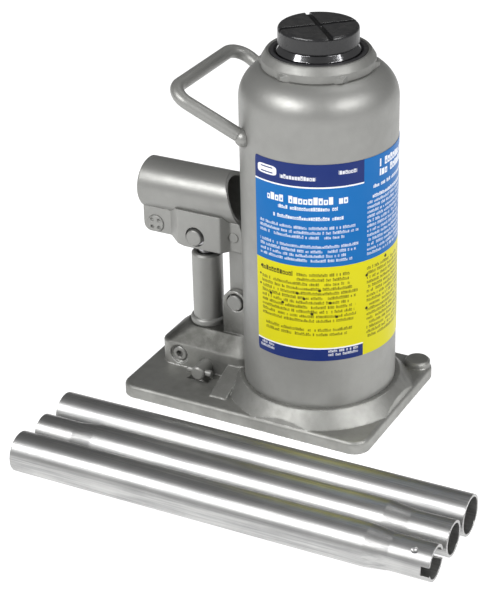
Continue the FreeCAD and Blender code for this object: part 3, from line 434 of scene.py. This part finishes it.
def makePrintedRows(look):
    # endless rows of letter-like strokes that spell nothing
    tree, given, out = newGroup("printedRows",
                                [("X", numberSocket, 0.0), ("Y", numberSocket, 0.0),
                                 ("Top", numberSocket, 10.0), ("Pitch", numberSocket, 3.0),
                                 ("Letter", numberSocket, 1.0), ("Ink", numberSocket, 0.6),
                                 ("Gaps", numberSocket, 0.2), ("Uneven", numberSocket, 0.4)],
                                [("Mask", numberSocket), ("Short", numberSocket)])
    get = given.outputs
    rows = sums(tree, "DIVIDE", sums(tree, "SUBTRACT", get["Top"], get["Y"]), get["Pitch"])
    row = sums(tree, "FLOOR", rows)
    inRow = sums(tree, "FRACT", rows)
    letters = sums(tree, "DIVIDE", get["X"], get["Letter"])
    inLetter = sums(tree, "FRACT", letters)
    cell = addNode(tree, "ShaderNodeCombineXYZ")
    feed(tree, cell.inputs["X"], sums(tree, "FLOOR", letters))
    feed(tree, cell.inputs["Y"], row)
    dice = addNode(tree, "ShaderNodeTexWhiteNoise", noise_dimensions="2D")
    feed(tree, dice.inputs["Vector"], cell.outputs[0])
    picks = addNode(tree, "ShaderNodeSeparateColor")
    feed(tree, picks.inputs[0], dice.outputs["Color"])
    mask = sums(tree, "GREATER_THAN", picks.outputs[0], get["Gaps"])
    topOfLetter = sums(tree, "MULTIPLY", picks.outputs[1], look["cut"])
    mask = sums(tree, "MULTIPLY", mask, sums(tree, "GREATER_THAN", inRow, topOfLetter))
    mask = sums(tree, "MULTIPLY", mask, sums(tree, "LESS_THAN", inRow, get["Ink"]))
    mask = sums(tree, "MULTIPLY", mask, sums(tree, "GREATER_THAN", inLetter, look["gap"]))
    eyeMiddle = sums(tree, "MULTIPLY", get["Ink"], look["eyeDown"])
    eye = sums(tree, "MULTIPLY", sums(tree, "COMPARE", inLetter, look["eyeAcross"], look["eyeWidth"]),
               sums(tree, "COMPARE", inRow, eyeMiddle, look["eyeHeight"]))
    eye = sums(tree, "MULTIPLY", eye, sums(tree, "GREATER_THAN", picks.outputs[2], look["noEye"]))
    feed(tree, out.inputs["Mask"], sums(tree, "MULTIPLY", mask, sums(tree, "SUBTRACT", 1.0, eye)))
    rowDice = addNode(tree, "ShaderNodeTexWhiteNoise", noise_dimensions="1D")
    feed(tree, rowDice.inputs["W"], row)
    uneven = sums(tree, "POWER", rowDice.outputs["Value"], look["evenness"])
    feed(tree, out.inputs["Short"], sums(tree, "MULTIPLY", uneven, get["Uneven"]))
    return tree


def makePrintedBlock():
    # the part of the label that one block of print fills, its rows of uneven length
    tree, given, out = newGroup("printedBlock",
                                [("X", numberSocket, 0.0), ("Y", numberSocket, 0.0),
                                 ("Short", numberSocket, 0.0), ("Left", numberSocket, 0.0),
                                 ("Top", numberSocket, 10.0), ("Width", numberSocket, 10.0),
                                 ("Height", numberSocket, 10.0)],
                                [("Mask", numberSocket)])
    get = given.outputs
    across = sums(tree, "SUBTRACT", get["X"], get["Left"])
    down = sums(tree, "SUBTRACT", get["Top"], get["Y"])
    length = sums(tree, "MULTIPLY", get["Width"], sums(tree, "SUBTRACT", 1.0, get["Short"]))
    mask = sums(tree, "MULTIPLY", between(tree, across, 0.0, length), between(tree, down, 0.0, get["Height"]))
    feed(tree, out.inputs["Mask"], mask)
    return tree


printedRows = makePrintedRows(strokes)
printedBlock = makePrintedBlock()


def labelPlaces(tree, size):
    sheet = addNode(tree, "ShaderNodeUVMap", uv_map="printMap")
    split = addNode(tree, "ShaderNodeSeparateXYZ")
    feed(tree, split.inputs[0], sheet.outputs["UV"])
    x = sums(tree, "MULTIPLY", split.outputs["X"], size[0])
    y = sums(tree, "MULTIPLY", split.outputs["Y"], size[1])
    return x, y


def printOn(tree, x, y, kind):
    pitch, letter, ink, gaps, start, uneven, strength = printSizes[kind]
    rows = useGroup(tree, printedRows, X=x, Y=y, Top=start, Pitch=pitch, Letter=letter, Ink=ink, Gaps=gaps,
                    Uneven=uneven)
    total = None
    for left, top, width, height in printBlocks[kind]:
        block = useGroup(tree, printedBlock, X=x, Y=y, Short=rows["Short"], Left=left, Top=top, Width=width,
                         Height=height)["Mask"]
        total = sums(tree, "MAXIMUM", total, block) if total else block
    return sums(tree, "MULTIPLY", sums(tree, "MULTIPLY", total, rows["Mask"]), strength)


def labelFinish(name, ground, ink, kinds, size, look):
    material, tree, shader = newFinish(name, look["roughness"])
    shader.inputs["Specular IOR Level"].default_value = look["specular"]
    x, y = labelPlaces(tree, size)
    place = addNode(tree, "ShaderNodeTexCoord").outputs["Object"]
    faded = remap(tree, noise(tree, place, 35.0, 3.0), 0.3, 0.7, 0.0, look["faded"])
    face = mixColour(tree, faded, ground, look["white"])
    for kind in kinds:
        face = mixColour(tree, printOn(tree, x, y, kind), face, ink)
    scuffs = noise(tree, place, 500.0, 4.0, 0.7)
    feed(tree, shader.inputs["Roughness"], remap(tree, scuffs, 0.3, 0.8, look["gloss"], look["dull"]))
    geometry = addNode(tree, "ShaderNodeNewGeometry")
    feed(tree, shader.inputs["Normal"],
         bump(tree, noise(tree, place, 60.0, 2.0), geometry.outputs["Normal"], look["bump"]))
    return material, tree, shader, x, y, face


def labelFinishes(look, size):
    blue, tree, shader, x, y, face = labelFinish("labelBlue", look["blue"], look["white"],
                                                 ("blueHeading", "blueLine", "blueSmall"), size, look)
    feed(tree, shader.inputs["Base Color"], face)
    yellow, tree, shader, x, y, face = labelFinish("labelYellow", look["yellow"], look["darkInk"],
                                                   ("yellowHeading", "yellowSmall"), size, look)
    for centreX, centreY, radius in bullets:
        reach = sums(tree, "ADD", sums(tree, "POWER", sums(tree, "SUBTRACT", x, centreX), 2.0),
                     sums(tree, "POWER", sums(tree, "SUBTRACT", y, centreY), 2.0))
        face = mixColour(tree, sums(tree, "LESS_THAN", reach, radius ** 2), face, look["darkInk"])
    feed(tree, shader.inputs["Base Color"], face)
    navy, tree, shader, x, y, face = labelFinish("labelNavy", look["navy"], look["white"],
                                                 ("bandLine", "bandSmall"), size, look)
    # thin rules beside the bands, and a plain rounded badge with two stripes
    for low, high in ((look["topBand"], look["topBand"] + look["rule"]),
                      (look["bottomBand"] - look["rule"], look["bottomBand"])):
        face = mixColour(tree, between(tree, y, low, high), face, look["white"])
    across, up = [sums(tree, "POWER", sums(tree, "ABSOLUTE", sums(tree, "MULTIPLY_ADD", value, *look[key])),
                       look["badgeSquareness"]) for value, key in ((x, "badgeAcross"), (y, "badgeUp"))]
    badge = sums(tree, "ADD", across, up)
    face = mixColour(tree, sums(tree, "LESS_THAN", badge, 1.0), face, look["white"])
    for middle in look["stripes"]:
        rows = between(tree, y, middle - look["stripeHalf"], middle + look["stripeHalf"])
        stripe = sums(tree, "MULTIPLY", rows, between(tree, x, *look["stripeEnds"]))
        face = mixColour(tree, stripe, face, look["navy"])
    feed(tree, shader.inputs["Base Color"], face)
    return [blue, yellow, navy]


def makeLabel(look):
    low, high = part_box("label")
    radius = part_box("reservoir_casing")[1][0] + look["standOff"]
    bottom, top = low[2], high[2]
    deselectAll()
    bpy.ops.mesh.primitive_cylinder_add(vertices=look["steps"], radius=radius, depth=top - bottom,
                                        end_fill_type="NOTHING", location=(0, 0, (bottom + top) / 2))
    sheet = bpy.context.object
    bpy.ops.object.transform_apply(location=True, rotation=True, scale=True)
    start, end = math.radians(look["startAngle"]), math.radians(look["endAngle"])
    startEdit(sheet)
    for angle, side in ((start, 1), (end, -1)):
        bpy.ops.mesh.select_all(action="SELECT")
        bpy.ops.mesh.bisect(plane_co=(0, 0, 0), plane_no=(-side * math.sin(angle), side * math.cos(angle), 0),
                            clear_inner=True, clear_outer=False)
    ends = [(radius * math.cos(angle), radius * math.sin(angle)) for angle in (start, end)]
    pickVertices(sheet, lambda co: min((Vector(co[:2]) - Vector(point)).length for point in ends) < 0.0001)
    bpy.ops.mesh.bevel(offset=look["corner"], segments=6, affect="VERTICES")
    # cuts where the colours meet
    seam = start + look["mainPanel"] / 1000 / radius
    cuts = [((0, 0, bottom + look[line] / 1000), (0, 0, 1))
            for line in ("yellowTop", "topBand", "bottomBand")]
    cuts.append(((0, 0, 0), (-math.sin(seam), math.cos(seam), 0)))
    for place, facing in cuts:
        bpy.ops.mesh.select_all(action="SELECT")
        bpy.ops.mesh.bisect(plane_co=place, plane_no=facing)
    bpy.ops.object.mode_set(mode="OBJECT")
    size = ((end - start) * radius * 1000, (top - bottom) * 1000)
    for material in labelFinishes(look, size):
        sheet.data.materials.append(material)
    mesh = sheet.data
    for layer in list(mesh.uv_layers):
        mesh.uv_layers.remove(layer)
    prints = mesh.uv_layers.new(name="printMap")
    for loop in mesh.loops:
        co = mesh.vertices[loop.vertex_index].co
        turn = (math.atan2(co.y, co.x) - start) / (end - start)
        prints.data[loop.index].uv = (turn, (co.z - bottom) / (top - bottom))
    for face in mesh.polygons:
        around = (math.atan2(face.center.y, face.center.x) - start) * radius * 1000
        rise = (face.center.z - bottom) * 1000
        inBand = around < look["mainPanel"] and (rise > look["topBand"] or rise < look["bottomBand"])
        face.material_index = 2 if inBand else 1 if rise < look["yellowTop"] else 0
    applyModifier(sheet, "SOLIDIFY", thickness=look["film"], offset=1.0)
    smooth(sheet, 40)
    settle(sheet, "label_sheet")
    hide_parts("label")
    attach(sheet, "jack_base")


makeLabel(labelPrint)
print("stage: label wrapped and printed")


# The extension screw's thread

screwThread = {"pitch": 0.004, "depth": 0.0016, "steps": 48, "runOut": 0.005,
               "flank": 0.16, "flat": 0.34,  # shares of the pitch
               "neckInset": 0.0005, "endInset": 0.0008}


def makeScrew(look):
    low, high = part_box("extension_screw")
    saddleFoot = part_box("saddle")[0][2]
    outer = high[0]
    core = outer - look["depth"]
    turns = int((saddleFoot - look["runOut"] - low[2]) / look["pitch"]) + 2
    deselectAll()
    bpy.ops.mesh.primitive_plane_add(size=0.001, location=(core, 0, low[2] - look["pitch"]))
    screw = bpy.context.object
    bpy.ops.object.transform_apply(location=True, rotation=True, scale=True)
    startEdit(screw)
    bpy.ops.mesh.select_mode(type="VERT")
    mesh = bmesh.from_edit_mesh(screw.data)
    mesh.verts.ensure_lookup_table()
    for vertex in mesh.verts:
        vertex.select_set(vertex.index > 0)
    mesh.select_flush(True)
    bmesh.update_edit_mesh(screw.data)
    bpy.ops.mesh.delete(type="VERT")
    mesh = bmesh.from_edit_mesh(screw.data)
    mesh.verts.ensure_lookup_table()
    mesh.verts[0].co = (core, 0, low[2] - look["pitch"])
    mesh.verts[0].select_set(True)
    bmesh.update_edit_mesh(screw.data)
    flank, flat = look["pitch"] * look["flank"], look["pitch"] * look["flat"]
    for step in ((look["depth"], 0, flank), (0, 0, flat), (-look["depth"], 0, flank), (0, 0, flat)):
        bpy.ops.mesh.extrude_region_move(TRANSFORM_OT_translate={"value": step})
    bpy.ops.object.mode_set(mode="OBJECT")
    applyModifier(screw, "SCREW", screw_offset=look["pitch"], iterations=turns, steps=look["steps"],
                  render_steps=look["steps"], axis="Z", use_normal_calculate=True)
    startEdit(screw)
    bpy.ops.mesh.select_all(action="SELECT")
    bpy.ops.mesh.remove_doubles(threshold=0.00002)
    bpy.ops.mesh.select_all(action="SELECT")
    bpy.ops.mesh.bisect(plane_co=(0, 0, low[2]), plane_no=(0, 0, 1), use_fill=True, clear_inner=True)
    bpy.ops.mesh.select_all(action="SELECT")
    bpy.ops.mesh.bisect(plane_co=(0, 0, saddleFoot - look["runOut"]), plane_no=(0, 0, 1), use_fill=True,
                        clear_outer=True)
    # the plain neck and the spigot that the saddle sits on
    bpy.ops.mesh.inset(thickness=look["neckInset"])
    for rise in (look["runOut"], high[2] - saddleFoot):
        bpy.ops.mesh.extrude_region_move(TRANSFORM_OT_translate={"value": (0, 0, rise)})
        bpy.ops.mesh.inset(thickness=look["endInset"])
    bpy.ops.mesh.select_all(action="SELECT")
    bpy.ops.mesh.normals_make_consistent(inside=False)
    bpy.ops.object.mode_set(mode="OBJECT")
    smooth(screw, 30)
    settle(screw, "extension_screw_threaded")
    screw.data.materials.append(machinedSteel)
    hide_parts("extension_screw")
    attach(screw, "screw_and_saddle")


makeScrew(screwThread)
print("stage: screw threaded")


# Finishes on the parts that keep their own shape

finishes = {
    greyCast: ["base_casting"],
    greyNut: ["head_nut"],
    greyCoat: ["reservoir_casing", "carry_handle", "carry_handle_welds", "pump_cylinder", "lever_socket",
               "socket_plate_front", "socket_plate_back", "socket_rivet", "link_bar", "link_head_pin",
               "link_foot_pin", "plunger_pin", "overload_screw", "release_valve", "release_cross_pin"],
    blackPhosphate: ["saddle"],
    polishedSteelPaintedDark: ["ram", "pump_plunger", "suction_ball", "delivery_ball", "overload_ball", "release_ball"],
    zincPlate: ["handle_section_back", "handle_section_middle", "handle_section_front"],
    machinedSteel: ["hydraulic_cylinder", "screw_stop_washer", "delivery_spring", "delivery_plug",
                    "overload_spring", "suction_strainer"],
    blackRubber: ["filler_plug", "release_seal"],
    gasketFibre: ["tank_gasket", "cylinder_gasket", "pump_gasket"],
    polyurethane: ["wiper_seal", "ram_seal", "ram_guide_band", "plunger_seal"],
}
for material, names in finishes.items():
    for name in names:
        for place in nodes[name].material_slots:
            place.material = material
print("stage: finishes placed")


# Floor, lights and camera

studio = {
    "floorSize": 8.0, "floorColour": (0.36, 0.36, 0.36, 1), "floorGlow": 0.93,
    "floorPatches": (0.30, 0.30, 0.30, 1), "floorRoughness": 0.75, "patchAmount": 0.05,
    "worldColour": (1.0, 1.0, 1.0, 1), "worldStrength": 0.13, "wallStrength": 1.1,
    # each softbox: bearing from the front, height angle, distance, width, height, power
    "softboxes": [("leftSoftbox", -25, 38, 1.35, 0.95, 0.34, 14.4),
                  ("rightSoftbox", 76, 37, 1.35, 0.80, 0.34, 10.6),
                  ("topSoftbox", 150, 68, 1.9, 0.7, 0.7, 4.0)],
    "aim": (0.0, 0.0, 0.12),
}


def makeFloor(look):
    deselectAll()
    bpy.ops.mesh.primitive_plane_add(size=look["floorSize"], location=(0, 0, 0))
    floor = bpy.context.object
    floor.name = "studioFloor"
    material, tree, shader = newFinish("floorPaper", look["floorRoughness"])
    place = addNode(tree, "ShaderNodeTexCoord").outputs["Object"]
    tone = remap(tree, noise(tree, place, 30.0, 3.0), 0.3, 0.7, 0.0, look["patchAmount"])
    feed(tree, shader.inputs["Base Color"], mixColour(tree, tone, look["floorColour"], look["floorPatches"]))
    shader.inputs["Emission Color"].default_value = (1, 1, 1, 1)
    shader.inputs["Emission Strength"].default_value = look["floorGlow"]
    floor.data.materials.append(material)


def makeLights(look):
    world = bpy.data.worlds.new("studioAir")
    world.use_nodes = True
    tree = world.node_tree
    tree.nodes.clear()
    # a white wall for the eye, a dim room for the light
    shades = []
    for strength in (look["worldStrength"], look["wallStrength"]):
        air = addNode(tree, "ShaderNodeBackground")
        air.inputs["Color"].default_value = look["worldColour"]
        air.inputs["Strength"].default_value = strength
        shades.append(air.outputs[0])
    mix = addNode(tree, "ShaderNodeMixShader", 300)
    feed(tree, mix.inputs[0], addNode(tree, "ShaderNodeLightPath").outputs["Is Camera Ray"])
    feed(tree, mix.inputs[1], shades[0])
    feed(tree, mix.inputs[2], shades[1])
    feed(tree, addNode(tree, "ShaderNodeOutputWorld", 600).inputs["Surface"], mix.outputs[0])
    bpy.context.scene.world = world
    for name, bearing, climb, distance, width, height, power in look["softboxes"]:
        light = bpy.data.lights.new(name, "AREA")
        light.shape = "RECTANGLE"
        light.size, light.size_y = width, height
        light.energy = power
        lamp = bpy.data.objects.new(name, light)
        bpy.context.scene.collection.objects.link(lamp)
        around, up = math.radians(bearing), math.radians(climb)
        offset = Vector((math.sin(around) * math.cos(up), -math.cos(around) * math.cos(up), math.sin(up)))
        lamp.location = Vector(look["aim"]) + offset * distance
        lamp.rotation_euler = offset.to_track_quat("Z", "Y").to_euler()


viewpoint = {"place": (0.43612, -0.89777, 0.59812), "forward": (-0.424, 0.7756, -0.4677),
             "up": (-0.2014, 0.4227, 0.8836), "lens": 113.35, "sensor": 36.0,
             "nearest": 0.01, "farthest": 50.0}


def makeCamera(look):
    camera = bpy.data.cameras.new("frontCamera")
    camera.lens = look["lens"]
    camera.sensor_width = look["sensor"]
    camera.sensor_fit = "AUTO"
    camera.clip_start, camera.clip_end = look["nearest"], look["farthest"]
    holder = bpy.data.objects.new("frontCamera", camera)
    bpy.context.scene.collection.objects.link(holder)
    forward = Vector(look["forward"]).normalized()
    right = forward.cross(Vector(look["up"])).normalized()
    up = right.cross(forward)
    turn = holder.matrix_world.to_3x3()
    for row in range(3):
        turn[row] = (right[row], up[row], -forward[row])
    holder.rotation_euler = turn.to_euler()
    holder.location = look["place"]
    bpy.context.scene.camera = holder


makeFloor(studio)
makeLights(studio)
makeCamera(viewpoint)
bpy.context.scene.view_settings.view_transform = "Standard"
print("stage: studio set")
